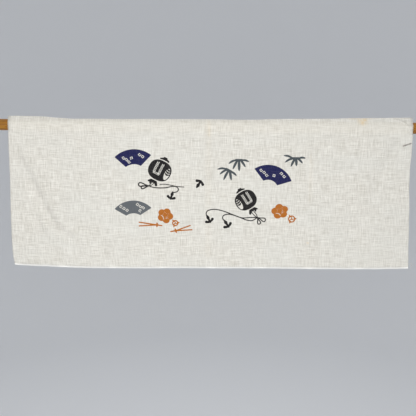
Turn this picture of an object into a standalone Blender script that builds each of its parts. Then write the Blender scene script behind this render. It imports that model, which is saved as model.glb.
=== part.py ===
"""A tenugui towel turned over a plain wooden rod.

Metres. X runs along the rod from its left end, Z is up, and the printed side faces -Y.
"""

import math

import bmesh
import bpy

# The rod is a stock dowel.
ROD_LENGTH = 1.000
ROD_RADIUS = 0.012
ROD_CHAMFER = 0.0008

# The cloth as cut from its bolt, lying flat.
CLOTH_LENGTH = 0.860
CLOTH_WIDTH = 0.367
CLOTH_THICKNESS = 0.001

# Where the cloth's left end sits on the rod, and its clearance where it bears on it.
CLOTH_START = 0.070
BEARING_GAP = 0.00045
BEARING_RADIUS = ROD_RADIUS + BEARING_GAP + CLOTH_THICKNESS / 2

# The turned-over edge is a soft crease that stands a little above the rod.
CREASE_RADIUS = 0.0028

# Mesh steps down the front, round the rod, over the crease and down the back.
FRONT_ROWS = 24
ROD_ROWS = 4
CREASE_ROWS = 4
BACK_ROWS = 2

# Mesh steps along the cloth, closer where the dents are.
COLUMN_RUNS = (
    # from, to, columns
    (0.000, 0.168, 21),
    (0.168, 0.750, 29),
    (0.750, 0.860, 13),
)

# Distance from the cloth's left end, height of the crease and depth of the lower edge,
# both from the rod's axis.
EDGE_HEIGHTS = (
    # along, crease, lower edge
    (0.000, 0.0178, -0.3000),
    (0.009, 0.0182, -0.3048),
    (0.040, 0.0180, -0.3068),
    (0.073, 0.0174, -0.3074),
    (0.105, 0.0149, -0.3088),
    (0.139, 0.0134, -0.3099),
    (0.172, 0.0136, -0.3103),
    (0.236, 0.0135, -0.3101),
    (0.300, 0.0142, -0.3100),
    (0.430, 0.0147, -0.3086),
    (0.494, 0.0141, -0.3079),
    (0.526, 0.0145, -0.3079),
    (0.560, 0.0162, -0.3077),
    (0.622, 0.0173, -0.3081),
    (0.687, 0.0181, -0.3084),
    (0.728, 0.0194, -0.3085),
    (0.783, 0.0204, -0.3076),
    (0.826, 0.0212, -0.3062),
    (0.860, 0.0218, -0.3049),
)

# Height on the front, and how far each cut end strays along X from a straight cut.
END_DRIFTS = (
    # height, left end, right end
    (-0.310, 0.0066, 0.0052),
    (-0.298, 0.0044, 0.0052),
    (-0.284, 0.0022, 0.0047),
    (-0.271, 0.0012, 0.0041),
    (-0.245, 0.0003, 0.0033),
    (-0.184, 0.0000, 0.0020),
    (-0.119, 0.0010, -0.0011),
    (-0.080, 0.0004, -0.0011),
    (-0.055, 0.0000, 0.0009),
    (-0.013, 0.0002, 0.0013),
    (0.001, -0.0004, 0.0014),
    (0.009, -0.0008, 0.0018),
    (0.022, -0.0022, 0.0028),
)

# Soft dents in the front. Each runs between two points, given as X and Z.
DENTS = (
    # x0, z0, x1, z1, half width, depth
    (0.096, -0.066, 0.129, -0.122, 0.0120, 0.0018),
    (0.129, -0.122, 0.155, -0.176, 0.0120, 0.0024),
    (0.155, -0.176, 0.180, -0.226, 0.0120, 0.0024),
    (0.180, -0.226, 0.219, -0.252, 0.0120, 0.0014),
    (0.127, -0.198, 0.143, -0.231, 0.0110, 0.0014),
    (0.904, -0.015, 0.875, -0.083, 0.0120, 0.0016),
    (0.875, -0.083, 0.856, -0.126, 0.0120, 0.0020),
    (0.856, -0.126, 0.852, -0.181, 0.0120, 0.0014),
)


def table_value(table, at, column):
    """Reads a column of a table at a place between its rows, easing in and out of each row."""
    if at <= table[0][0]:
        return table[0][column]
    for low, high in zip(table, table[1:]):
        if at <= high[0]:
            share = (at - low[0]) / (high[0] - low[0])
            share = share * share * (3 - 2 * share)
            return low[column] + share * (high[column] - low[column])
    return table[-1][column]


def dent_depth(x, z):
    """How far the front is pressed back at a point, as the deepest of the dents there."""
    deepest = 0.0
    for x0, z0, x1, z1, half_width, depth in DENTS:
        run_x = x1 - x0
        run_z = z1 - z0
        share = ((x - x0) * run_x + (z - z0) * run_z) / (run_x ** 2 + run_z ** 2)
        share = min(max(share, 0.0), 1.0)
        away = math.hypot(x - x0 - share * run_x, z - z0 - share * run_z)
        deepest = max(deepest, depth * math.exp(-((away / half_width) ** 2)))
    return deepest


def front_swell(x, z):
    """The slow wave of the hanging front, still where it bears on the rod and full at the bottom."""
    drop = min(max(-z / 0.30, 0.0), 1.0)
    wave = math.sin(2 * math.pi * x / 0.37 + 0.8) + 0.5 * math.sin(2 * math.pi * x / 0.19)
    return 0.0013 * wave * drop ** 1.3


def section(along):
    """The cloth's middle line across the rod, as (y, z), from the lower edge round to the back."""
    crease = table_value(EDGE_HEIGHTS, along, 1)
    lower = table_value(EDGE_HEIGHTS, along, 2)
    x = CLOTH_START + along
    points = []
    for row in range(FRONT_ROWS):
        z = lower * (1 - row / FRONT_ROWS)
        y = -BEARING_RADIUS + dent_depth(x, z) * min(-z / 0.05, 1.0) + front_swell(x, z)
        points.append((y, z))
    # The sides of the crease touch both the rod's circle and its own small one.
    spread = math.acos((BEARING_RADIUS - CREASE_RADIUS) / (crease - CREASE_RADIUS))
    for row in range(ROD_ROWS + 1):
        turn = math.pi / 2 + (spread - math.pi / 2) * row / ROD_ROWS
        points.append((-BEARING_RADIUS * math.sin(turn), BEARING_RADIUS * math.cos(turn)))
    for row in range(CREASE_ROWS + 1):
        turn = spread - 2 * spread * row / CREASE_ROWS
        y = -CREASE_RADIUS * math.sin(turn)
        z = crease - CREASE_RADIUS + CREASE_RADIUS * math.cos(turn)
        points.append((y, z))
    for row in range(ROD_ROWS + 1):
        turn = spread + (math.pi / 2 - spread) * row / ROD_ROWS
        points.append((BEARING_RADIUS * math.sin(turn), BEARING_RADIUS * math.cos(turn)))
    # What is left of the cloth's width hangs straight down behind the rod.
    used = sum(math.dist(a, b) for a, b in zip(points, points[1:]))
    for row in range(1, BACK_ROWS + 1):
        points.append((BEARING_RADIUS, -(CLOTH_WIDTH - used) * row / BACK_ROWS))
    return points


def build_towel(material):
    """One sheet, laid out column by column from the left cut end to the right one."""
    mesh = bpy.data.meshes.new("towel")
    grid = bmesh.new()
    places = [0.0]
    for start, end, columns in COLUMN_RUNS:
        places += [start + (end - start) * (step + 1) / columns for step in range(columns)]
    rows = []
    for along in places:
        share = along / CLOTH_LENGTH
        verts = []
        for y, z in section(along):
            left = table_value(END_DRIFTS, z, 1) * (1 - share)
            right = table_value(END_DRIFTS, z, 2) * share
            verts.append(grid.verts.new((CLOTH_START + along + left + right, y, z)))
        rows.append(verts)
    for left, right in zip(rows, rows[1:]):
        for row in range(len(left) - 1):
            corners = (left[row], right[row], right[row + 1], left[row + 1])
            grid.faces.new(corners)
    bmesh.ops.recalc_face_normals(grid, faces=grid.faces)
    grid.to_mesh(mesh)
    grid.free()
    towel = bpy.data.objects.new("towel", mesh)
    bpy.context.collection.objects.link(towel)
    mesh.materials.append(material)
    mesh.shade_smooth()
    wall = towel.modifiers.new("Thickness", "SOLIDIFY")
    wall.thickness = CLOTH_THICKNESS
    wall.offset = 0.0
    wall.use_even_offset = True
    return towel


def build_rod(material):
    """A straight dowel with its sawn ends just broken."""
    bpy.ops.mesh.primitive_cylinder_add(
        vertices=64,
        radius=ROD_RADIUS,
        depth=ROD_LENGTH,
        location=(ROD_LENGTH / 2, 0, 0),
        rotation=(0, math.pi / 2, 0),
    )
    rod = bpy.context.object
    rod.name = "rod"
    rod.data.name = "rod"
    rod.data.materials.append(material)
    ends = rod.modifiers.new("Broken ends", "BEVEL")
    ends.width = ROD_CHAMFER
    ends.segments = 1
    ends.limit_method = "ANGLE"
    rod.data.shade_smooth()
    rod.data.set_sharp_from_angle(angle=math.radians(35))
    return rod


def new_material(name, colour, roughness):
    material = bpy.data.materials.new(name)
    material.use_nodes = True
    surface = material.node_tree.nodes["Principled BSDF"]
    surface.inputs["Base Color"].default_value = (*colour, 1)
    surface.inputs["Roughness"].default_value = roughness
    surface.inputs["Metallic"].default_value = 0.0
    return material


for old in list(bpy.data.objects):
    bpy.data.objects.remove(old)

build_rod(new_material("varnished wood", (0.37, 0.17, 0.03), 0.45))
build_towel(new_material("undyed cotton", (0.72, 0.69, 0.62), 0.9))
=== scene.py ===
import math

import bmesh
import bpy
import numpy as np
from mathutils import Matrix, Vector, noise


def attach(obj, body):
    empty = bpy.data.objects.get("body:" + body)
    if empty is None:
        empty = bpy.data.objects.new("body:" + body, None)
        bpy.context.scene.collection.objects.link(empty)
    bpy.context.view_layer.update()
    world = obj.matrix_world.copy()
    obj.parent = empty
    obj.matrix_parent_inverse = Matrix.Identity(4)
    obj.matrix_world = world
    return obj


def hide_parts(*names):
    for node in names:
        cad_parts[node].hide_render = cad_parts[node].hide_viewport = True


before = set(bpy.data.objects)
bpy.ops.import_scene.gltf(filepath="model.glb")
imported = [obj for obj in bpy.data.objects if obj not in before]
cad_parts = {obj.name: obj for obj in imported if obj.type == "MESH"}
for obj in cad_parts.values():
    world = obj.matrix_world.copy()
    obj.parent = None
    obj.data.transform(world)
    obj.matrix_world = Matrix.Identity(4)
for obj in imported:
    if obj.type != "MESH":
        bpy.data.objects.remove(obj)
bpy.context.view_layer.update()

bpy.ops.object.select_all(action="DESELECT")

# The towel. One length of thin plain-weave cotton, torn from a narrow bolt, so its long sides are
# selvedges and its short ends are raw. It is turned over the rod along a soft pressed crease and
# hangs by the strip behind, with nothing sewn or pinned.
CLOTH_LENGTH = 0.860
CLOTH_WIDTH = 0.367
CLOTH_START = 0.070
CLOTH_THICKNESS = 0.0004
FACE_RADIUS = 0.0128
CREASE_RADIUS = 0.0024

# Along the cloth from its left end, height of the pressed crease, depth of the lower selvedge.
EDGE_HEIGHTS = np.array((
    (0.000, 0.0186, -0.3035), (0.009, 0.0190, -0.3047), (0.040, 0.0188, -0.3059),
    (0.073, 0.0182, -0.3065), (0.105, 0.0157, -0.3079), (0.139, 0.0140, -0.3090),
    (0.172, 0.0143, -0.3094), (0.236, 0.0142, -0.3092), (0.300, 0.0150, -0.3091),
    (0.430, 0.0155, -0.3077), (0.494, 0.0149, -0.3070), (0.526, 0.0153, -0.3070),
    (0.560, 0.0170, -0.3068), (0.622, 0.0181, -0.3072), (0.687, 0.0189, -0.3075),
    (0.728, 0.0202, -0.3076), (0.783, 0.0212, -0.3067), (0.826, 0.0220, -0.3053),
    (0.860, 0.0226, -0.3040),
))

# Height on the front, and how far the left and right raw ends stray along X.
END_DRIFTS = np.array((
    (-0.310, 0.0066, 0.0052), (-0.298, 0.0044, 0.0052), (-0.284, 0.0022, 0.0047),
    (-0.271, 0.0012, 0.0041), (-0.245, 0.0003, 0.0033), (-0.184, 0.0000, 0.0020),
    (-0.119, 0.0010, -0.0011), (-0.080, 0.0004, -0.0011), (-0.055, 0.0000, 0.0009),
    (-0.013, 0.0002, 0.0013), (0.001, -0.0004, 0.0014), (0.009, -0.0010, 0.0018),
    (0.014, -0.0026, 0.0022), (0.022, -0.0040, 0.0028),
))

# Soft dents, as x0, z0, x1, z1, half width and depth. The last is the nick of a pulled thread.
DENTS = (
    (0.0850, -0.0650, 0.1155, -0.1220, 0.0105, 0.0032),
    (0.1155, -0.1220, 0.1425, -0.1790, 0.0105, 0.0042),
    (0.1425, -0.1790, 0.1635, -0.2150, 0.0105, 0.0042),
    (0.1635, -0.2150, 0.1990, -0.2445, 0.0105, 0.0026),
    (0.1250, -0.2000, 0.1385, -0.2360, 0.0080, 0.0026),
    (0.904, -0.015, 0.875, -0.083, 0.0105, 0.0026),
    (0.875, -0.083, 0.856, -0.126, 0.0105, 0.0032),
    (0.856, -0.126, 0.852, -0.181, 0.0105, 0.0022),
    (0.9128, -0.0382, 0.9285, -0.0328, 0.0015, 0.0026),
)
# Soft ridges, the same way: the turned corner at the top right, and the lip under a pulled thread.
RIDGES = (
    (0.890, 0.0200, 0.908, 0.0150, 0.0017, 0.0013),
    (0.908, 0.0150, 0.919, 0.0060, 0.0017, 0.0015),
    (0.919, 0.0060, 0.9245, -0.006, 0.0017, 0.0012),
    (0.9115, -0.0418, 0.9265, -0.0372, 0.0018, 0.0012),
)
# Places along the cloth of the faint folds it kept from storage, and their depth and half width.
STORAGE_FOLDS = [CLOTH_LENGTH * k / 8 for k in range(1, 8)]
FOLD_DEPTH = 0.00045
FOLD_HALF_WIDTH = 0.0030
# How far the slow swell of the front moves it back and forth at its lower edge.
SWELL_DEPTH = 0.0013


def eased(table, at, column):
    """A column of a table between its rows, easing in and out of each."""
    low = np.clip(np.searchsorted(table[:, 0], at) - 1, 0, len(table) - 2)
    share = (at - table[low, 0]) / (table[low + 1, 0] - table[low, 0])
    share = np.clip(share, 0, 1)
    share = share * share * (3 - 2 * share)
    return table[low, column] + share * (table[low + 1, column] - table[low, column])


def inside_stroke(x, z, points, half):
    """How far a point lies inside a stroke drawn through points. half is one half width for all
    the points or a list with one for each."""
    halves = half if isinstance(half, (list, tuple)) else [half] * len(points)
    depth = np.full(np.shape(x), -1e3)
    for (x0, z0), (x1, z1), h0, h1 in zip(points, points[1:], halves, halves[1:]):
        run_x, run_z = x1 - x0, z1 - z0
        share = ((x - x0) * run_x + (z - z0) * run_z) / (run_x ** 2 + run_z ** 2)
        share = np.clip(share, 0, 1)
        away = np.hypot(x - x0 - share * run_x, z - z0 - share * run_z)
        depth = np.maximum(depth, h0 + (h1 - h0) * share - away)
    return depth


def lay(s, t):
    """Where a point of the flat cloth comes to hang: s along it, t up from its lower selvedge."""
    lower = eased(EDGE_HEIGHTS, s, 2)
    crease = eased(EDGE_HEIGHTS, s, 1)
    spread = np.arccos((FACE_RADIUS - CREASE_RADIUS) / (crease - CREASE_RADIUS))
    on_rod = FACE_RADIUS * (np.pi / 2 - spread)
    side = (crease - CREASE_RADIUS) * np.sin(spread)
    over = 2 * (on_rod + side + CREASE_RADIUS * spread)
    past = t + lower
    behind = past > over / 2
    climb = np.where(behind, over - past, past)
    # Straight up the front, round the rod, off it at a slant, and round the crease.
    turn = np.pi / 2 - np.clip(climb, 0, on_rod) / FACE_RADIUS
    y = -FACE_RADIUS * np.sin(turn)
    z = FACE_RADIUS * np.cos(turn) + np.minimum(climb, 0)
    slant = np.clip(climb - on_rod, 0, side)
    y += slant * np.cos(spread)
    z += slant * np.sin(spread)
    bend = spread - np.clip(climb - on_rod - side, 0, None) / CREASE_RADIUS
    y += CREASE_RADIUS * (np.sin(spread) - np.sin(bend))
    z += CREASE_RADIUS * (np.cos(bend) - np.cos(spread))
    y = np.where(behind, -y, y)
    share = s / CLOTH_LENGTH
    x = CLOTH_START + s + eased(END_DRIFTS, z, 1) * (1 - share) + eased(END_DRIFTS, z, 2) * share
    return x, y, z


def hang(s, t):
    """lay() with the cloth's own unevenness: dents, storage folds and a slow swell."""
    x, y, z = lay(s, t)
    front = (y < 0) & (z < 0)
    dent = np.zeros(np.shape(x))
    for x0, z0, x1, z1, half, depth in DENTS:
        away = -inside_stroke(x, z, ((x0, z0), (x1, z1)), 0.0)
        dent = np.maximum(dent, depth * np.exp(-(away / half) ** 2))
    ridge = np.zeros(np.shape(x))
    for x0, z0, x1, z1, half, height in RIDGES:
        away = -inside_stroke(x, z, ((x0, z0), (x1, z1)), 0.0)
        ridge = np.maximum(ridge, height * np.exp(-(away / half) ** 2) * (y < 0))
    drop = np.clip(-z / 0.30, 0, 1)
    swell = np.sin(2 * np.pi * x / 0.37 + 0.8) + 0.5 * np.sin(2 * np.pi * x / 0.19)
    fold = np.zeros(np.shape(x))
    for number, place in enumerate(STORAGE_FOLDS):
        lean = (-1) ** number
        fold += lean * FOLD_DEPTH * np.exp(-((s - place) / FOLD_HALF_WIDTH) ** 2)
    rumple = np.array([
        0.0007 * noise.noise(Vector((a * 16, b * 20, 3.0)))
        + 0.00035 * noise.noise(Vector((a * 55, b * 60, 9.0)))
        for a, b in zip(np.ravel(s), np.ravel(t))
    ]).reshape(np.shape(x))
    free = np.where(front, np.clip(-z / 0.05, 0, 1), 0)
    y = y + free * (dent + rumple + fold) - ridge
    y = y + np.where(front, SWELL_DEPTH * swell * drop ** 1.3, 0)
    # The strip behind stands off the rod a little at its edge.
    tail = np.where((y > 0) & (z < 0), -z / 0.025, 0)
    y = y + tail * 0.0012 * (1 + np.sin(s * 31) * np.cos(s * 12.7))
    return x, y, z


# The print on the towel. Lucky things, each a flat stencil shape in one dye: folding fans, lucky
# mallets with their cords, bamboo leaves, plum blossoms and pine needles. They are dyed right into
# the cotton, so they show faintly on the back. Sizes and places are millimetres on the front, X
# from the rod's left end and Z from its axis. "turn" is in degrees, anticlockwise from the front.
DYES = {
    "navy": (0.0120, 0.0135, 0.0700),
    "grey": (0.1130, 0.1230, 0.1320),
    "slate": (0.0640, 0.0760, 0.0830),
    "black": (0.0125, 0.0112, 0.0125),
    "ochre": (0.4150, 0.1330, 0.0190),
}

FANS = (
    # dye, middle of the arcs, outer and inner radius, where the sides would meet, half angle, turn
    ("navy", (338.1, -110.4), 60.2, 28.3, (336.1, -102.5), 46.3, 2.6),
    ("grey", (336.3, -215.3), 55.0, 27.2, (335.6, -201.9), 58.6, 2.2),
    ("navy", (625.3, -135.3), 54.6, 22.4, (627.0, -130.2), 55.4, -17.8),
)

FRETS = (
    # kind, place, turn
    ("hook", (315.3, -68.8), 130), ("hook", (321.0, -72.9), -50), ("hook", (327.0, -77.3), 130),
    ("hook", (332.2, -69.4), 20), ("hook", (349.8, -61.6), 130), ("box", (356.0, -66.0), 48),
    ("hook", (309.2, -173.7), 60), ("box", (315.3, -177.6), 55), ("box", (322.0, -181.5), 55),
    ("box", (344.6, -168.7), -40), ("hook", (350.8, -172.7), 140), ("hook", (356.8, -176.3), -40),
    ("hook", (350.2, -182.3), 60),
    ("hook", (610.3, -92.4), 125), ("hook", (616.4, -97.6), -55), ("hook", (622.4, -103.0), 125),
    ("box", (637.9, -103.9), -10), ("hook", (653.6, -99.6), -50), ("hook", (659.9, -105.3), 130),
)
FRET_LINES = {
    "hook": ((-2.3, -2.3), (-2.3, 2.3), (2.3, 2.3), (2.3, -1.3), (-0.1, -1.3)),
    "box": ((-2.1, -2.1), (-2.1, 2.1), (2.1, 2.1), (2.1, -2.1), (-2.1, -2.1)),
}
FRET_HALF_WIDTH = 0.66

MALLETS = (
    # middle of the barrel, turn of its axis, which side the handle's foot is on, size
    ((392.7, -95.0), -27.0, -1, 1.00),
    ((578.2, -157.2), 212.0, 1, 0.94),
)

CORDS = (
    # half width, points
    (0.80, ((369.5, -128.3), (372.5, -124.5), (377.0, -119.5))),
    (0.80, ((369.5, -128.3), (375.5, -126.4), (380.5, -121.5))),
    (0.85, ((393, -125.0), (405, -124.6), (417, -126.8), (430, -129.2), (444.5, -130.2))),
    (1.10, ((369.5, -128.3), (377, -131.0), (390, -132.6), (406, -132.0), (420, -129.0),
            (428, -129.8), (432.8, -135), (429.5, -140.5), (421, -142.5))),
    (0.85, ((604, -194.6), (601.5, -187.8), (596, -181.2))),
    (0.85, ((604, -194.6), (597.5, -190.4), (592, -184.5))),
    (1.10, ((604, -194.6), (588, -194.9), (571.5, -195.8), (556, -191.0), (530, -181.3),
            (511, -177.8), (497, -180.6), (493, -187), (495.2, -193.2))),
    (1.10, ((604, -194.6), (593, -201.4), (581, -200.4), (568, -195.6), (552, -189.9), (539, -188.1),
            (530.6, -191.2), (528.8, -197.0), (533, -203))),
)
BOWS = (
    # half width, knot, then for each loop its direction, length and width
    (1.30, (369.5, -128.3), ((171, 22.8, 8.4), (193, 17.4, 6.6))),
    (1.15, (604, -194.6), ((-20, 18.4, 8.0), (-71, 15.0, 7.0))),
)

TASSELS = (
    # where the cord meets it, turn, size
    ((420.2, -142.6), -17, 1.03), ((495.4, -192.8), 27, 1.05), ((533.6, -203.2), 34, 1.08),
    ((473.0, -129.4), 147, 1.08),
)

SPRAYS = (
    # the two ends of the twig, and the leaf tips
    ((556.0, -71.6), (569.0, -71.6),
     ((540.6, -78.9), (549.6, -90.6), (563.0, -94.5), (576.2, -86.0), (583.4, -74.6))),
    ((535.5, -90.8), (545.5, -96.1),
     ((516.6, -91.3), (521.6, -101.9), (529.8, -114.0), (546.3, -114.2), (557.4, -104.8))),
    ((677.5, -66.6), (689.5, -66.6),
     ((657.6, -61.0), (660.6, -75.2), (673.6, -84.0), (685.4, -82.4), (698.4, -76.8),
      (704.4, -66.0))),
)

PLUMS = (
    # middle, turn, size, height for its width
    ((404.4, -192.7), -25, 1.07, 0.95),
    ((652.3, -181.0), 11, 1.15, 0.87),
)
ROSETTES = (
    # middle, turn, radius
    ((426.1, -208.8), 9, 5.6),
    ((678.2, -197.3), 4, 6.6),
)

NEEDLES = (
    # the two tips, where they join, the foot
    ((348.0, -207.3), (348.0, -215.4), (386.5, -213.0), (397.0, -214.6)),
    ((458.5, -213.7), (462.3, -222.9), (427.3, -225.4), (416.5, -227.4)),
)


def turned(x, z, place, turn):
    """A point in a shape's own upright axes."""
    angle = math.radians(turn)
    across, up = x - place[0], z - place[1]
    return (across * math.cos(angle) + up * math.sin(angle),
            up * math.cos(angle) - across * math.sin(angle))


def placed(points, place, turn):
    angle = math.radians(turn)
    return [(place[0] + u * math.cos(angle) - v * math.sin(angle),
             place[1] + u * math.sin(angle) + v * math.cos(angle)) for u, v in points]


def smooth(points, steps=6):
    """Points on a curve through the given ones."""
    ends = [points[0], *points, points[-1]]
    curve = [points[0]]
    for a, b, c, d in zip(ends, ends[1:], ends[2:], ends[3:]):
        for step in range(1, steps + 1):
            k = step / steps
            curve.append(tuple(
                0.5 * (2 * q + (r - p) * k + (2 * p - 5 * q + 4 * r - w) * k * k
                       + (3 * q - p - 3 * r + w) * k ** 3)
                for p, q, r, w in zip(a, b, c, d)))
    return curve


def inside_oval(u, v, half_u, half_v):
    reach = np.hypot(u / half_u, v / half_v)
    return (1 - reach) * min(half_u, half_v)


def fan(x, z, middle, outer, inner, meeting, half_angle, turn):
    """Between two arcs round one point and two straight sides that meet at another."""
    radius = np.hypot(x - middle[0], z - middle[1])
    u, v = turned(x, z, meeting, turn)
    half = math.radians(half_angle)
    beside = v * math.sin(half) - np.abs(u) * math.cos(half)
    return np.minimum(np.minimum(outer - radius, radius - inner), beside)


def mallet(x, z, middle, turn, foot_side, size):
    """Barrel, the pale struck face and hatched strap on it, and the ends of its handle."""
    u, v = turned(x, z, middle, turn)
    u, v = u / size, -v * foot_side / size
    barrel = (1 - (np.abs(u / 25.0) ** 2.4 + np.abs(v / 21.8) ** 2.4) ** (1 / 2.4)) * 22
    pale = inside_oval(u - 17.2, v + 0.8, 5.4, 13.0)
    for swirl in (9.6, 4.5, -0.6):
        crescent = [(12.4, swirl + 1.6), (15.0, swirl - 0.5), (17.5, swirl - 1.3),
                    (20.0, swirl - 0.6), (22.8, swirl + 1.8)]
        pale = np.minimum(pale, -inside_stroke(u, v, crescent, [0.6, 1.6, 2.0, 1.5, 0.7]))
    for strap_u in (-9.4, 2.2):
        bow = strap_u - 1.2 * (1 - ((v - 3) / 19) ** 2)
        strap = np.minimum(2.5 - np.abs(u - bow), 12.1 - np.abs(v - 3.4))
        hatch = np.abs((v * 0.95 + (u - bow) * 0.6) % 3.0 - 1.5) - 0.80
        pale = np.maximum(pale, np.minimum(strap, np.maximum(hatch, np.abs(u - bow) - 1.8)))
    strap = np.minimum(2.2 - np.abs(v + 8.8), 7.2 - np.abs(u + 4.4))
    hatch = np.abs((u + v * 0.5) % 3.0 - 1.5) - 0.80
    pale = np.maximum(pale, np.minimum(strap, np.maximum(hatch, np.abs(v + 8.8) - 1.6)))
    ends = np.maximum.reduce([
        inside_stroke(u, v, ((-10.0, 24.0), (-3.5, 26.2), (3.0, 26.4), (8.7, 24.8)),
                      [1.5, 2.5, 2.5, 1.7]),
        inside_stroke(u, v, ((-3.2, 28.6), (2.0, 28.9)), 2.0),
        inside_stroke(u, v, ((-11.8, -30.4), (-7.2, -27.4), (3.2, -26.9), (7.2, -32.0)),
                      [1.8, 3.4, 3.4, 2.6]),
        inside_stroke(u, v, ((-8.2, -28.0), (-6.4, -33.6)), [3.0, 1.5]),
    ])
    return np.minimum(barrel, -pale) * size, pale * size, ends * size


def bow_loop(knot, direction, length, width):
    """One loop of a bow, as points round it from the knot and back."""
    loop = []
    for k in np.linspace(0, 2 * math.pi, 19):
        loop.append((length * math.sin(k / 2), width / 2 * math.sin(k) * math.sin(k / 2) * 1.25))
    return placed(loop, knot, direction)


def tassel(x, z, place, turn, size):
    """A bound head, a short stem and three round tufts."""
    u, v = turned(x, z, place, turn)
    u, v = u / size, v / size
    stem = inside_stroke(u, v, ((0, 1.0), (0, -3.4), (0, -7.6), (0, -12.5)), [1.8, 3.4, 2.1, 2.5])
    tufts = inside_stroke(u, v, ((-7.0, -9.9), (-3.7, -12.0), (0, -12.6), (3.7, -12.0), (7.0, -9.9)),
                          [2.8, 2.3, 2.0, 2.3, 2.8])
    return np.maximum.reduce([stem, tufts, inside_oval(u, v + 13.2, 2.4, 2.4)]) * size


def leaf(x, z, root, tip):
    """Widest past its middle, and the more it reaches sideways the higher it arches."""
    reach = abs(tip[0] - root[0])
    middle = ((root[0] + tip[0]) / 2, (root[1] + tip[1]) / 2 + 0.10 * reach)
    slim = 1.0 - 0.25 * reach / math.hypot(reach, tip[1] - root[1])
    halves = [slim * k for k in (2.0, 2.2, 2.5, 2.75, 2.9, 2.95, 2.85, 2.6, 2.15, 1.5, 0.6)]
    return inside_stroke(x, z, smooth((root, middle, tip), 5), halves)


def blossom(x, z, middle, turn, size, squash):
    """Five round petals. A thin rim across each is left pale, one broader than the others, and so
    are two stamens."""
    u, v = turned(x, z, middle, turn)
    u, v = u / size, v / (size * squash)
    depth = inside_oval(u, v, 8.5, 8.5)
    pale = np.full(np.shape(x), -1e3)
    for petal, rim_half in enumerate((0.16, 0.14, 0.72, 0.24, 0.18)):
        angle = math.radians(90 + 72 * petal)
        across, up = math.cos(angle), math.sin(angle)
        depth = np.maximum(depth, inside_oval(u - 9.0 * across, v - 9.0 * up, 7.3, 7.3))
        rim = [(11.4 * across + 6.2 * math.cos(angle + k), 11.4 * up + 6.2 * math.sin(angle + k))
               for k in np.linspace(2.1, 4.1, 7)]
        halves = [rim_half * k for k in (0.3, 0.7, 0.9, 1.0, 0.9, 0.7, 0.3)]
        pale = np.maximum(pale, inside_stroke(u, v, rim, halves))
    for angle, near, far in ((318, 3.0, 6.6), (345, 2.6, 5.0)):
        across, up = math.cos(math.radians(angle)), math.sin(math.radians(angle))
        stamen = ((near * across, near * up), (far * across, far * up))
        pale = np.maximum(pale, inside_stroke(u, v, stamen, [0.15, 0.42]))
    return depth * size * min(1, squash), pale * size * min(1, squash)


def rosette(x, z, middle, turn, radius):
    """A small flower in outline: a ring with three tips, and three lines from its middle."""
    u, v = turned(x, z, middle, turn)
    ring = [(radius * math.cos(k), radius * math.sin(k)) for k in np.linspace(0, 2 * math.pi, 19)]
    depth = inside_stroke(u, v, ring, 1.3)
    for angle in (0, 120, 240):
        tip = placed(((radius, 0), (radius + 3.2, 0)), (0, 0), angle)
        rib = placed(((0, 0), (radius, 0)), (0, 0), angle - 30)
        depth = np.maximum(depth, inside_stroke(u, v, tip, [2.2, 1.0]))
        depth = np.maximum(depth, inside_stroke(u, v, rib, [1.2, 0.6]))
    return depth


def printed(x, z):
    """How deep each point lies inside the print, in millimetres, which dye is nearest to it, and
    how near it is to the fine lines."""
    shapes, fine, bare = [], [], []
    for kind, place, turn in FRETS:
        bare.append(inside_stroke(x, z, placed(FRET_LINES[kind], place, turn), FRET_HALF_WIDTH))
    for dye, *shape in FANS:
        shapes.append((dye, fan(x, z, *shape)))
    for shape in MALLETS:
        barrel, pale, ends = mallet(x, z, *shape)
        shapes.append(("black", barrel))
        fine.append(("black", ends))
        bare.append(pale)
    lines = [(half, smooth(points)) for half, points in CORDS]
    lines += [(half, bow_loop(knot, *loop)) for half, knot, loops in BOWS for loop in loops]
    for half, points in lines:
        fine.append(("black", inside_stroke(x, z, points, half)))
    for shape in TASSELS:
        fine.append(("black", tassel(x, z, *shape)))
    for left, right, tips in SPRAYS:
        fine.append(("slate", inside_stroke(x, z, (left, right), 2.7)))
        for number, tip in enumerate(tips):
            share = number / (len(tips) - 1)
            root = (left[0] + share * (right[0] - left[0]), left[1] + share * (right[1] - left[1]))
            fine.append(("slate", leaf(x, z, root, tip)))
    for one, two, join, foot in NEEDLES:
        along = math.degrees(math.atan2(foot[1] - join[1], foot[0] - join[0]))
        cross = placed(((0.0, -4.0), (0.0, 0.0), (0.0, 4.0)), join, along + 8)
        fine.append(("ochre", inside_stroke(x, z, (one, join), [1.30, 1.45])))
        fine.append(("ochre", inside_stroke(x, z, (two, join), [1.30, 1.45])))
        fine.append(("ochre", inside_stroke(x, z, (join, foot), [1.7, 1.4])))
        fine.append(("ochre", inside_stroke(x, z, cross, [1.3, 2.6, 1.3])))
    for shape in PLUMS:
        petals, pale = blossom(x, z, *shape)
        shapes.append(("ochre", petals))
        bare.append(pale)
    for shape in ROSETTES:
        fine.append(("ochre", rosette(x, z, *shape)))
    shapes += fine
    depths = np.array([depth for dye, depth in shapes])
    nearest = depths.argmax(0)
    depth = np.minimum(depths.max(0), -np.maximum.reduce(bare))
    lines = np.maximum.reduce([line for dye, line in fine] + bare)
    lines = np.where(lines < 3, -np.abs(lines), -3)
    return depth, [shapes[k][0] for k in nearest.ravel()], lines
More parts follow.
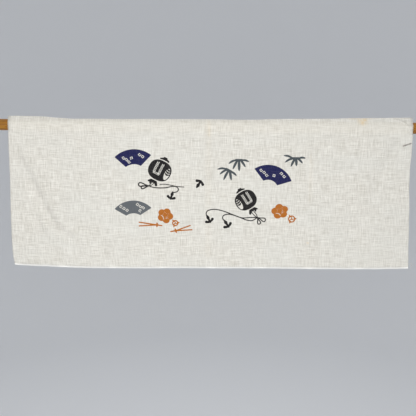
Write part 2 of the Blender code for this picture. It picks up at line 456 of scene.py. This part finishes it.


# Stains, and painted shade along the creases, the fold troughs and the nick of a pulled thread, in
# millimetres on the front as the print is.
MARKS = (
    # colour, from, to, half width, strength
    ("tan", (824.2, 13.6), (825.4, 9.8), 4.6, 0.64),
    ("tan", (828.5, 16.8), (832.0, 15.4), 3.4, 0.52),
    ("tan", (800, 19.0), (838, 19.0), 2.4, 0.22),
    ("tan", (498, -20), (498, 24), 3.0, 0.16), ("tan", (497.5, -280), (497.5, -20), 6.0, 0.05),
    ("tan", (715.5, -160), (715.5, -60), 2.0, 0.07),
    ("tan", (715.0, -249.6), (715.6, -249.6), 1.5, 0.45),
    # From here on the marks are painted shade, not dirt: a painted shadow in the nick of the pulled
    # thread, then shade along the turned corner's crease and along the fold troughs at the left and at
    # the right.
    ("painted_shade", (913.0, -38.2), (929.0, -32.8), 1.25, 0.95),
    ("painted_shade", (899, 17.6), (911, 15.0), 1.7, 0.12), ("painted_shade", (911, 15.0), (918.5, 9.2), 1.7, 0.14),
    ("painted_shade", (918.5, 9.2), (922.2, 3.0), 1.7, 0.12),
    ("painted_shade", (92, -61), (122, -118), 6.0, 0.05), ("painted_shade", (122, -118), (150, -175), 6.0, 0.08),
    ("painted_shade", (150, -175), (170, -211), 6.0, 0.11), ("painted_shade", (170, -211), (206, -240), 6.0, 0.08),
    ("painted_shade", (131, -197), (145, -233), 5.0, 0.05), ("painted_shade", (898, -26), (873, -90), 6.0, 0.04),
    ("painted_shade", (873, -90), (856, -140), 6.0, 0.03),
)


def marked(x, z, colour):
    """How strongly the marks of one colour tint each point."""
    amount = np.zeros(np.shape(x))
    for kind, start, end, half, strength in MARKS:
        if kind == colour:
            away = -inside_stroke(x, z, (start, end), 0.0)
            amount = np.maximum(amount, strength * np.exp(-(away / half) ** 2))
    return amount


# The cloth's own mesh, close where the print, the crease and the folds need it. Squares are split
# when they lie this many times their size from the print, in millimetres for each metre, and
# those of the last size only by its fine lines, but a little further out.
PRINT_REACH = 760
LAST_FURTHER = 0.20
rows = np.concatenate([np.linspace(0, 0.288, 32), np.linspace(0.288, 0.318, 13)[1:],
                       np.linspace(0.318, 0.337, 17)[1:], np.linspace(0.337, CLOTH_WIDTH, 11)[1:]])
columns = np.linspace(0, CLOTH_LENGTH, 94)
flat = bmesh.new()
grid = [[flat.verts.new((s, t, 0)) for t in rows] for s in columns]
for left, right in zip(grid, grid[1:]):
    for k in range(len(rows) - 1):
        flat.faces.new((left[k], right[k], right[k + 1], left[k + 1]))
for size in (0.008, 0.004, 0.002, 0.001):
    squares = [f for f in flat.faces if len(f.verts) == 4 and f.calc_perimeter() > 3.2 * size]
    middles = np.array([f.calc_center_median()[:2] for f in squares])
    x, y, z = lay(middles[:, 0], middles[:, 1])
    front = (y < 0) & (z < -0.002)
    depth, names, fine = printed(x * 1e3, z * 1e3)
    nearness = fine + LAST_FURTHER if size < 0.0015 else np.maximum(-np.abs(depth), fine)
    split = front & (nearness > -PRINT_REACH * size)
    if size > 0.0035:
        split |= front & (marked(x * 1e3, z * 1e3, "painted_shade") > 0.02)
        for place in STORAGE_FOLDS:
            split |= front & (np.abs(middles[:, 0] - place) < 0.75 * size)
    small = [ridge[:4] for ridge in RIDGES] + [DENTS[-1][:4]]
    beside = [inside_stroke(x, z, (line[:2], line[2:]), 0.0) for line in small]
    split |= (np.maximum.reduce(beside) > -max(0.0035, 1.2 * size)) & (y < 0)
    if size > 0.0015:
        split |= (marked(x * 1e3, z * 1e3, "tan") > 0.12) & (y < 0)
        split |= np.minimum(middles[:, 0], CLOTH_LENGTH - middles[:, 0]) < 0.75 * size
    edges = {e for f, cut in zip(squares, split) if cut for e in f.edges}
    bmesh.ops.subdivide_edges(flat, edges=list(edges), cuts=1, use_grid_fill=True)
bmesh.ops.triangulate(flat, faces=flat.faces)
towel_mesh = bpy.data.meshes.new("towel_cloth")
flat.to_mesh(towel_mesh)
flat.free()

places = np.empty(len(towel_mesh.vertices) * 3, np.float32)
towel_mesh.vertices.foreach_get("co", places)
s, t = places.reshape(-1, 3)[:, :2].astype(float).T
x, y, z = lay(s, t)
depth, names, fine = printed(x * 1e3, z * 1e3)
ink = np.where((y < 0) & (z < 0), np.clip(depth, -6, 6), -6)
# Painted light: the front is tinted warm where the rod lies behind it, a painted show-through of the
# rod seen through the thin cloth.
on_rod = np.exp(-np.clip(-z - 0.009, 0, None) / 0.006) * np.clip((0.0145 - z) / 0.004, 0, 1) * (y < 0)
towel_mesh.attributes.new("ink", "FLOAT", "POINT").data.foreach_set("value", ink)
# The first attribute holds the real tan stains, the second the painted shade.
for colour in ("tan", "painted_shade"):
    amount = marked(x * 1e3, z * 1e3, colour) * (y < 0)
    towel_mesh.attributes.new(colour, "FLOAT", "POINT").data.foreach_set("value", amount)
towel_mesh.attributes.new("on_rod", "FLOAT", "POINT").data.foreach_set("value", on_rod)
dyes = np.array([(*DYES[name], 1.0) for name in names])
towel_mesh.attributes.new("dye", "FLOAT_COLOR", "POINT").data.foreach_set("color", dyes.ravel())
corner_points = np.empty(len(towel_mesh.loops), np.int32)
towel_mesh.loops.foreach_get("vertex_index", corner_points)
cloth_map = towel_mesh.uv_layers.new(name="cloth")
cloth_map.uv.foreach_set("vector", np.column_stack((s, t))[corner_points].ravel())

# Torn ends are uneven by a thread or two.
ends = np.exp(-np.minimum(s, CLOTH_LENGTH - s) / 0.0015)
jitter = np.array([noise.noise(Vector((0.0, b * 420, 5.0 if a < 0.4 else 8.0))) for a, b in zip(s, t)])
x, y, z = hang(s, t)
x = x + 0.0005 * ends * jitter
towel_mesh.vertices.foreach_set("co", np.column_stack((x, y, z)).ravel())
towel_mesh.update()
towel_mesh.shade_smooth()
towel = bpy.data.objects.new("towel_cloth", towel_mesh)
bpy.context.collection.objects.link(towel)


# Pitch of the threads along the towel and up it.
WARP_PITCH = 0.00060
WEFT_PITCH = 0.00066


def new_material(name, roughness, sheen=0.0):
    """A material with its Principled shader, and a function that adds a linked node to it."""
    material = bpy.data.materials.new(name)
    material.use_nodes = True
    tree = material.node_tree
    surface = tree.nodes["Principled BSDF"]
    surface.inputs["Roughness"].default_value = roughness
    surface.inputs["Sheen Weight"].default_value = sheen
    surface.inputs["Specular IOR Level"].default_value = 0.12

    def node(kind, inputs=(), **settings):
        made = tree.nodes.new("ShaderNode" + kind)
        for key, value in settings.items():
            setattr(made, key, value)
        for socket, value in dict(inputs).items():
            if isinstance(value, bpy.types.NodeSocket):
                tree.links.new(value, made.inputs[socket])
            else:
                made.inputs[socket].default_value = value
        return made

    return material, surface, tree, node


def cotton(name, back):
    """Undyed cotton in plain weave, with slubs both ways, the dyes, stains and weave relief, plus
    painted shade in creases and folds, the rod's painted show-through and a painted highlight along the
    lower selvedge.
    """
    material, surface, tree, node = new_material(name, 0.92, 0.04)
    flat_place = node("UVMap", uv_map="cloth").outputs["UV"]

    def noisy(scale, detail=2.0, rough=0.5):
        moved = node("Mapping", {"Vector": flat_place, "Scale": (*scale, 1.0)})
        return node("TexNoise", {"Vector": moved.outputs[0], "Scale": 1.0, "Detail": detail,
                                 "Roughness": rough}, noise_dimensions="2D").outputs["Fac"]

    def math_node(operation, a, b=0.0, c=0.0):
        return node("Math", {0: a, 1: b, 2: c}, operation=operation).outputs[0]

    def ranged(value, low, high, to_low=0.0, to_high=1.0, smooth=False):
        return node("MapRange", {"Value": value, "From Min": low, "From Max": high, "To Min": to_low,
                                 "To Max": to_high},
                    interpolation_type="SMOOTHSTEP" if smooth else "LINEAR").outputs[0]

    def mixed(share, a, b, blend="MIX"):
        made = node("Mix", {"Factor": share}, data_type="RGBA", blend_type=blend)
        for socket, value in ((6, a), (7, b)):
            if isinstance(value, bpy.types.NodeSocket):
                tree.links.new(value, made.inputs[socket])
            else:
                made.inputs[socket].default_value = (*value, 1.0)
        return made.outputs[2]

    # The warp runs along the towel and the weft up it, each thread over one and under one.
    weft = node("TexWave", {"Vector": flat_place, "Scale": math.tau / 20 / WEFT_PITCH,
                            "Distortion": 0.0}, bands_direction="X").outputs["Fac"]
    warp = node("TexWave", {"Vector": flat_place, "Scale": math.tau / 20 / WARP_PITCH,
                            "Distortion": 0.0}, bands_direction="Y").outputs["Fac"]
    crossed = node("Mapping", {"Vector": flat_place, "Scale": (1 / WEFT_PITCH, 1 / WARP_PITCH, 1.0)})
    warp_over = node("TexChecker", {"Vector": crossed.outputs[0], "Scale": 1.0}).outputs["Fac"]
    weave = math_node("ADD", math_node("MULTIPLY", warp, warp_over),
                      math_node("MULTIPLY", weft, math_node("SUBTRACT", 1.0, warp_over)))

    # Thick and thin places: single threads first, then bands of them, then slow clouds.
    thread = math_node("ADD", noisy((36.0, 700.0), 2.0, 0.65), noisy((660.0, 42.0), 2.0, 0.65))
    band = math_node("ADD", noisy((14.0, 230.0), 2.0), noisy((220.0, 16.0), 2.0))
    slub = math_node("ADD", math_node("MULTIPLY", thread, 0.84), math_node("MULTIPLY", band, 0.16))
    broad = noisy((9.0, 14.0), 2.0)
    fibre = noisy((1500.0, 1500.0), 1.0)

    base = mixed(ranged(slub, 0.72, 1.28), (0.530, 0.500, 0.437), (0.845, 0.822, 0.757))
    base = mixed(ranged(broad, 0.3, 0.7, 0.0, 0.30), base, (0.690, 0.690, 0.645))
    base = mixed(ranged(weave, 0.0, 1.0, 0.16, 0.0), base, (0.440, 0.410, 0.350))
    # A painted highlight: the lowest few millimetres along the lower selvedge are lightened almost to
    # white.
    up_cloth = node("SeparateXYZ", {"Vector": flat_place}).outputs["Y"]
    selvedge = ranged(up_cloth, 0.0024, 0.0042, 0.85, 0.0, True)
    base = mixed(selvedge, base, (0.950, 0.940, 0.900))
    # Painted show-through of the rod: a warm tint on the band of the front that lies over the rod.
    on_rod = node("Attribute", attribute_name="on_rod").outputs["Fac"]
    base = mixed(math_node("MULTIPLY", on_rod, 0.13), base, (0.760, 0.680, 0.540))
    blot = ranged(noisy((160.0, 160.0)), 0.3, 0.7, 0.55, 1.0)
    # The tan marks are real stains; the other marks paint shade into the creases, the fold troughs and
    # the nick of a pulled thread.
    for colour, mark_colour in (("tan", (0.730, 0.500, 0.190)), ("painted_shade", (0.170, 0.140, 0.135))):
        amount = node("Attribute", attribute_name=colour).outputs["Fac"]
        base = mixed(math_node("MULTIPLY", amount, blot), base, mark_colour)

    ink = node("Attribute", attribute_name="ink").outputs["Fac"]
    dye = node("Attribute", attribute_name="dye").outputs["Color"]
    edge = math_node("ADD", ink, math_node("MULTIPLY", math_node("SUBTRACT", fibre, 0.5), 0.7))
    slubbed = ranged(slub, 0.80, 1.02, 0.965, 1.0)
    flecks = ranged(math_node("ADD", fibre, math_node("MULTIPLY", weave, 0.30)), 0.26, 0.50, 0.90, 1.0)
    if back:
        cover = math_node("MULTIPLY", ranged(edge, -0.7, 0.7, 0.0, 0.62, True), slubbed)
    else:
        cover = math_node("MULTIPLY", math_node("MULTIPLY", ranged(edge, -0.15, 0.15, 0.0, 1.0, True),
                                                slubbed), flecks)
    colour = mixed(cover, base, dye)
    tree.links.new(colour, surface.inputs["Base Color"])
    height = math_node("ADD", math_node("MULTIPLY", weave, 0.55), math_node("MULTIPLY", slub, 0.8))
    relief = node("Bump", {"Height": height, "Strength": 0.35, "Distance": 0.00022})
    tree.links.new(relief.outputs[0], surface.inputs["Normal"])
    return material


towel_mesh.materials.append(cotton("printed cotton, face", False))
towel_mesh.materials.append(cotton("printed cotton, back", True))
wall = towel.modifiers.new("Thickness", "SOLIDIFY")
wall.thickness = CLOTH_THICKNESS
wall.offset = -1.0
wall.material_offset = 1
bpy.context.view_layer.objects.active = towel
bpy.ops.object.modifier_apply(modifier=wall.name)
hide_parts("towel")
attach(towel, "root")

# The torn ends. The warp yarns stand a millimetre or two past the last weft, each a soft taper of
# unspun cotton, and at the lower right one of them has pulled out and hooks back on itself.
YARN_RADIUS = 0.00017
yarns = bmesh.new()


def spin_yarn(points, radii, sides=3):
    """A closed yarn through points, with its own radius at each."""
    rings = []
    for number, (point, radius) in enumerate(zip(points, radii)):
        ahead = points[min(number + 1, len(points) - 1)] - points[max(number - 1, 0)]
        turn = ahead.to_track_quat("Z", "Y")
        rings.append([yarns.verts.new(point + turn @ Vector((
            radius * math.cos(math.tau * k / sides), radius * math.sin(math.tau * k / sides), 0)))
            for k in range(sides)])
    for low, high in zip(rings, rings[1:]):
        for k in range(sides):
            yarns.faces.new((low[k], low[(k + 1) % sides], high[(k + 1) % sides], high[k]))
    yarns.faces.new(rings[0][::-1])
    yarns.faces.new(rings[-1])


for end, out in ((0.0, -1.0), (CLOTH_LENGTH, 1.0)):
    heights = np.arange(0.0012, CLOTH_WIDTH - 0.001, 2 * WARP_PITCH)
    root_x, root_y, root_z = hang(np.full(len(heights), end - out * 0.0008), heights)
    for number, root in enumerate(zip(root_x, root_y, root_z)):
        stray = [noise.noise(Vector((number * 0.73, 11.0 * out, k * 7.7))) for k in range(4)]
        if stray[0] < -0.22:
            continue
        length = 0.0016 + 0.0022 * max(0.0, stray[1] + 0.15)
        inward = Vector((0, YARN_RADIUS if root[1] < 0 else -YARN_RADIUS, 0))
        lean = Vector((out, 0.35 * stray[2], 0.55 * stray[3] - 0.10))
        droop = Vector((0, 0, -0.0006 * (length / 0.003)))
        points = [Vector(root) + inward + lean * length * k + droop * k * k
                  for k in (0.0, 0.34, 0.68, 1.0)]
        spin_yarn(points, [YARN_RADIUS * k for k in (1.0, 1.0, 0.75, 0.25)])
LOOSE_RADIUS = 0.00026
LOOSE_TIP_RADIUS = 0.00010
loose = smooth(((0.9335, -0.0148, -0.2936), (0.9362, -0.0152, -0.2927),
                (0.9396, -0.0158, -0.2920), (0.9424, -0.0156, -0.2926),
                (0.9420, -0.0152, -0.2958), (0.9402, -0.0150, -0.2988),
                (0.9386, -0.0152, -0.3012)), 4)
loose_radii = [LOOSE_RADIUS] * (len(loose) - 1) + [LOOSE_TIP_RADIUS]
spin_yarn([Vector(point) for point in loose], loose_radii, 6)
yarn_mesh = bpy.data.meshes.new("towel_yarn_ends")
yarns.to_mesh(yarn_mesh)
yarns.free()
yarn_mesh.shade_smooth()
yarn_ends = bpy.data.objects.new("towel_yarn_ends", yarn_mesh)
bpy.context.collection.objects.link(yarn_ends)
spun, surface, tree, node = new_material("loose cotton yarn", 0.95, 0.10)
fluff = node("TexNoise", {"Vector": node("TexCoord").outputs["Object"], "Scale": 900.0, "Detail": 2.0})
shade = node("ValToRGB", {"Fac": fluff.outputs["Fac"]})
shade.color_ramp.elements[0].position = 0.3
shade.color_ramp.elements[0].color = (0.520, 0.500, 0.440, 1)
shade.color_ramp.elements[1].position = 0.7
shade.color_ramp.elements[1].color = (0.820, 0.800, 0.740, 1)
tree.links.new(shade.outputs["Color"], surface.inputs["Base Color"])
yarn_mesh.materials.append(spun)
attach(yarn_ends, "root")

# The rod. A plain round stick of softwood, turned with the grain, varnished golden brown and sawn
# square. Its pith lay well to one side, so the year rings show as long stripes along it and as
# arcs at the ends.
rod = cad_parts["rod"]
wood, surface, tree, node = new_material("varnished softwood", 0.40)
surface.inputs["Specular IOR Level"].default_value = 0.28
place = node("TexCoord").outputs["Object"]
RING_PITCH = 0.0024
from_pith = node("Mapping", {"Vector": place, "Location": (0.0, 0.031, 0.018),
                             "Scale": (0.22, 1.0, 1.0)})
rings = node("TexWave", {"Vector": from_pith.outputs[0], "Scale": math.tau / 20 / RING_PITCH,
                         "Distortion": 2.2, "Detail": 3.0, "Detail Scale": 0.35,
                         "Detail Roughness": 0.55},
             wave_type="RINGS", rings_direction="X", wave_profile="SAW")
streaks = node("Mapping", {"Vector": place, "Scale": (3.0, 420.0, 420.0)})
streak = node("TexNoise", {"Vector": streaks.outputs[0], "Scale": 1.0, "Detail": 4.0, "Roughness": 0.6})
fibres = node("Mapping", {"Vector": place, "Scale": (60.0, 2600.0, 2600.0)})
pores = node("TexNoise", {"Vector": fibres.outputs[0], "Scale": 1.0, "Detail": 2.0})
tone = node("ValToRGB", {"Fac": rings.outputs["Fac"]})
tone.color_ramp.elements[0].position = 0.10
tone.color_ramp.elements[0].color = (0.400, 0.180, 0.022, 1)
tone.color_ramp.elements[1].position = 0.92
tone.color_ramp.elements[1].color = (0.235, 0.090, 0.010, 1)
grain = node("Mix", {"Factor": 0.55, 6: tone.outputs["Color"]}, data_type="RGBA", blend_type="OVERLAY")
tree.links.new(streak.outputs["Fac"], grain.inputs[7])
fleck = node("Mix", {"Factor": 0.22, 6: grain.outputs[2], 7: pores.outputs["Fac"]}, data_type="RGBA",
             blend_type="MULTIPLY")
tree.links.new(fleck.outputs[2], surface.inputs["Base Color"])
relief = node("Bump", {"Height": pores.outputs["Fac"], "Strength": 0.25, "Distance": 0.0002})
tree.links.new(relief.outputs[0], surface.inputs["Normal"])
rod.data.materials.clear()
rod.data.materials.append(wood)

# The studio: a pale round floor that sweeps up into a low wall all round, so the towel has the same
# plain ground behind it from every side. It hangs at chest height.
FLOOR = -1.40
FLAT_RADIUS = 2.6
SWEEP_RADIUS = 1.4
SWEEP_STEPS = 12
WALL_TOP = 2.2
bpy.ops.mesh.primitive_circle_add(vertices=96, radius=FLAT_RADIUS, fill_type="TRIFAN",
                                  location=(0.5, 0, FLOOR))
studio = bpy.context.object
studio.name = "studio_sweep"
bpy.ops.object.transform_apply(location=True, rotation=False, scale=False)
bpy.ops.object.mode_set(mode="EDIT")
bpy.ops.mesh.select_all(action="SELECT")
bpy.ops.mesh.region_to_loop()
radius = FLAT_RADIUS
height = FLOOR
rims = [(FLAT_RADIUS + SWEEP_RADIUS * math.sin(turn), FLOOR + SWEEP_RADIUS * (1 - math.cos(turn)))
        for turn in np.linspace(0, math.pi / 2, SWEEP_STEPS + 1)[1:]]
for next_radius, next_height in [*rims, (FLAT_RADIUS + SWEEP_RADIUS, WALL_TOP)]:
    bpy.ops.mesh.extrude_edges_move(TRANSFORM_OT_translate={"value": (0, 0, next_height - height)})
    bpy.ops.transform.resize(value=(next_radius / radius, next_radius / radius, 1),
                             center_override=(0.5, 0, next_height))
    radius = next_radius
    height = next_height
bpy.ops.mesh.select_all(action="SELECT")
bpy.ops.mesh.normals_make_consistent(inside=True)
bpy.ops.object.mode_set(mode="OBJECT")
studio.data.shade_smooth()
paper, surface = new_material("studio paper", 0.95)[:2]
surface.inputs["Base Color"].default_value = (0.82, 0.83, 0.85, 1)
studio.data.materials.append(paper)


def soft_light(name, place, target, size, power):
    lamp = bpy.data.lights.new(name, "AREA")
    lamp.shape = "RECTANGLE"
    lamp.size, lamp.size_y = size
    lamp.energy = power
    holder = bpy.data.objects.new(name, lamp)
    bpy.context.collection.objects.link(holder)
    holder.location = place
    aim = Vector(target) - Vector(place)
    holder.rotation_euler = aim.to_track_quat("-Z", "Y").to_euler()


soft_light("key", (0.28, -1.45, -0.14), (0.48, 0, -0.19), (1.0, 0.9), 12.9)
soft_light("fill", (1.5, -2.1, -0.1), (0.5, 0, -0.2), (1.4, 1.4), 8.6)
soft_light("top", (0.5, -0.35, 1.5), (0.5, 0, 0), (2.0, 0.7), 4.8)
soft_light("back", (0.5, 1.4, 1.5), (0.5, 0, -0.1), (1.8, 0.8), 10)
world = bpy.data.worlds.new("studio air")
world.use_nodes = True
world.node_tree.nodes["Background"].inputs["Color"].default_value = (0.96, 0.98, 1.0, 1)
world.node_tree.nodes["Background"].inputs["Strength"].default_value = 0.53
bpy.context.scene.world = world
bpy.context.scene.view_settings.view_transform = "Standard"

view = bpy.data.cameras.new("photo_view")
view.lens = 45.0
view.sensor_width = 36.0
camera = bpy.data.objects.new("photo_view", view)
bpy.context.collection.objects.link(camera)
camera.location = (0.4969, -1.1302, -0.0563)
camera.rotation_mode = "ZYX"
camera.rotation_euler = (math.radians(90 - 6.065), 0.0, math.radians(0.523))
bpy.context.scene.camera = camera
